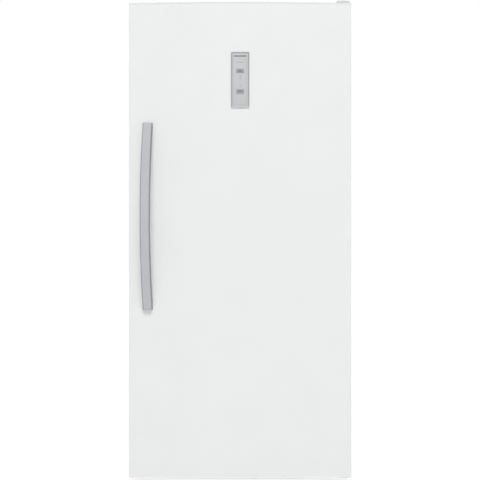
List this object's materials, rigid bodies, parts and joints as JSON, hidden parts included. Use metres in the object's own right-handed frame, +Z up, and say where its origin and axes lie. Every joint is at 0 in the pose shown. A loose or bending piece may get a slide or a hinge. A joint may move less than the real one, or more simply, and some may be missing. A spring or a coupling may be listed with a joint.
{
  "type": "freezerless refrigerator",
  "caption": "Upright refrigerator without a freezer, with a bowed door, a long bowed handle, a small control panel, shelves, crispers and door bins.",
  "frame": {"origin": "on the floor, under the middle of the whole refrigerator with its handle", "axes": "+X to the right seen from the front, +Y to the back, +Z up"},
  "size_m": [0.838, 0.7662, 1.839],
  "materials": {
    "white_steel": "satin",
    "galvanised_steel": "satin",
    "zinc_steel": "satin",
    "foam": "matte",
    "white_liner": "satin",
    "white_plastic": "satin",
    "grey_plastic": "satin",
    "black_plastic": "matte",
    "clear_plastic": "gloss",
    "shelf_glass": "gloss",
    "lens_plastic": "matte",
    "silver_handle": "satin",
    "silver_panel": "satin",
    "gasket_vinyl": "matte",
    "black_rubber": "matte",
    "black_steel": "satin",
    "copper_tube": "satin",
    "aluminium_fins": "satin",
    "board_green": "satin"
  },
  "bodies": {
    "cabinet": {"cabinet_shell": "white_steel", "cabinet_back_panel": "galvanised_steel", "cabinet_foam": "foam", "cabinet_liner": "white_liner", "base_frame": "galvanised_steel", "rear_cover": "galvanised_steel", "cabinet_screws": "zinc_steel", "roller_brackets": "zinc_steel", "compressor": "black_steel", "compressor_grommets": "black_rubber", "condenser_coil": "black_steel", "condenser_fan_motor": "zinc_steel", "refrigerant_lines": "copper_tube", "drain_pan": "black_plastic", "evaporator_cover": "white_liner", "evaporator_coil": "aluminium_fins", "evaporator_fan_motor": "black_plastic", "led_light_lens": "lens_plastic", "crisper_cover_glass": "shelf_glass", "crisper_cover_frame": "white_plastic", "top_hinge_bracket": "zinc_steel", "top_hinge_cover": "white_plastic", "bottom_hinge_bracket": "zinc_steel", "hinge_pins": "zinc_steel", "shelf_glass_1": "shelf_glass", "shelf_trim_1": "white_plastic", "shelf_glass_2": "shelf_glass", "shelf_trim_2": "white_plastic", "shelf_glass_3": "shelf_glass", "shelf_trim_3": "white_plastic"},
    "door": {"door_skin": "white_steel", "door_cap_top": "white_plastic", "door_cap_bottom": "white_plastic", "door_foam": "foam", "door_liner": "white_liner", "door_gasket": "gasket_vinyl", "door_bushes": "black_plastic", "handle_bar": "silver_handle", "handle_studs": "zinc_steel", "control_bezel": "silver_panel", "control_fascia": "silver_panel", "control_board": "board_green"},
    "roller_left": {"roller_left": "black_plastic"},
    "roller_right": {"roller_right": "black_plastic"},
    "leg_left": {"leveling_leg_left": "zinc_steel"},
    "leg_right": {"leveling_leg_right": "zinc_steel"},
    "evaporator_fan": {"evaporator_fan_blades": "black_plastic"},
    "condenser_fan": {"condenser_fan_blades": "black_plastic"},
    "crisper_left": {"crisper_left": "clear_plastic"},
    "crisper_right": {"crisper_right": "clear_plastic"},
    "humidity_left": {"humidity_slider_left": "grey_plastic"},
    "humidity_right": {"humidity_slider_right": "grey_plastic"},
    "key_up": {"key_up": "grey_plastic"},
    "key_down": {"key_down": "grey_plastic"},
    "door_bin_1": {"door_bin_1": "clear_plastic"},
    "door_bin_2": {"door_bin_2": "clear_plastic"},
    "door_bin_3": {"door_bin_3": "clear_plastic"},
    "door_bin_4": {"door_bin_4": "clear_plastic"},
    "door_bin_5": {"door_bin_5": "clear_plastic"},
    "dairy_lid": {"dairy_lid": "clear_plastic"}
  },
  "joints": [
    {"name": "door_swing", "type": "hinge", "parent": "cabinet", "child": "door", "pos_m": [0.404, -0.28685, 0], "axis": [0, 0, 1], "range_deg": [0, 125]},
    {"name": "key_up_press", "type": "slide", "parent": "door", "child": "key_up", "axis": [0, 1, 0], "range_m": [0, 0.0008], "stiffness_N_per_m": 100, "springref_m": -0.002},
    {"name": "key_down_press", "type": "slide", "parent": "door", "child": "key_down", "axis": [0, 1, 0], "range_m": [0, 0.0008], "stiffness_N_per_m": 100, "springref_m": -0.002},
    {"name": "bin_1_lift", "type": "slide", "parent": "door", "child": "door_bin_1", "axis": [0, 0, 1], "range_m": [0, 0.022]},
    {"name": "bin_2_lift", "type": "slide", "parent": "door", "child": "door_bin_2", "axis": [0, 0, 1], "range_m": [0, 0.022]},
    {"name": "bin_3_lift", "type": "slide", "parent": "door", "child": "door_bin_3", "axis": [0, 0, 1], "range_m": [0, 0.022]},
    {"name": "bin_4_lift", "type": "slide", "parent": "door", "child": "door_bin_4", "axis": [0, 0, 1], "range_m": [0, 0.022]},
    {"name": "bin_5_lift", "type": "slide", "parent": "door", "child": "door_bin_5", "axis": [0, 0, 1], "range_m": [0, 0.022]},
    {"name": "lid_flip", "type": "hinge", "parent": "door_bin_1", "child": "dairy_lid", "pos_m": [0, -0.24685, 1.5315], "axis": [1, 0, 0], "range_deg": [0, 90]},
    {"name": "crisper_left_slide", "type": "slide", "parent": "cabinet", "child": "crisper_left", "axis": [0, -1, 0], "range_m": [0, 0.2295]},
    {"name": "humidity_left_slide", "type": "slide", "parent": "crisper_left", "child": "humidity_left", "axis": [1, 0, 0], "range_m": [-0.015, 0.015]},
    {"name": "crisper_right_slide", "type": "slide", "parent": "cabinet", "child": "crisper_right", "axis": [0, -1, 0], "range_m": [0, 0.2295]},
    {"name": "humidity_right_slide", "type": "slide", "parent": "crisper_right", "child": "humidity_right", "axis": [1, 0, 0], "range_m": [-0.015, 0.015]},
    {"name": "leg_left_turn", "type": "hinge", "parent": "cabinet", "child": "leg_left", "pos_m": [-0.37, -0.17185, 0], "axis": [0, 0, 1], "continuous": true},
    {"name": "roller_left_spin", "type": "hinge", "parent": "cabinet", "child": "roller_left", "pos_m": [-0.37, 0.32315, 0.014], "axis": [1, 0, 0], "continuous": true},
    {"name": "leg_right_turn", "type": "hinge", "parent": "cabinet", "child": "leg_right", "pos_m": [0.37, -0.17185, 0], "axis": [0, 0, 1], "continuous": true},
    {"name": "roller_right_spin", "type": "hinge", "parent": "cabinet", "child": "roller_right", "pos_m": [0.37, 0.32315, 0.014], "axis": [1, 0, 0], "continuous": true},
    {"name": "evaporator_fan_spin", "type": "hinge", "parent": "cabinet", "child": "evaporator_fan", "pos_m": [0, 0.29715, 0.99], "axis": [0, 1, 0], "continuous": true},
    {"name": "condenser_fan_spin", "type": "hinge", "parent": "cabinet", "child": "condenser_fan", "pos_m": [-0.04, 0.28165, 0.118], "axis": [1, 0, 0], "continuous": true}
  ],
  "couplings": [
    {"joint": "crisper_left_slide", "follows": "door_swing", "m_per_rad": 0.105},
    {"joint": "crisper_right_slide", "follows": "door_swing", "m_per_rad": 0.105}
  ]
}
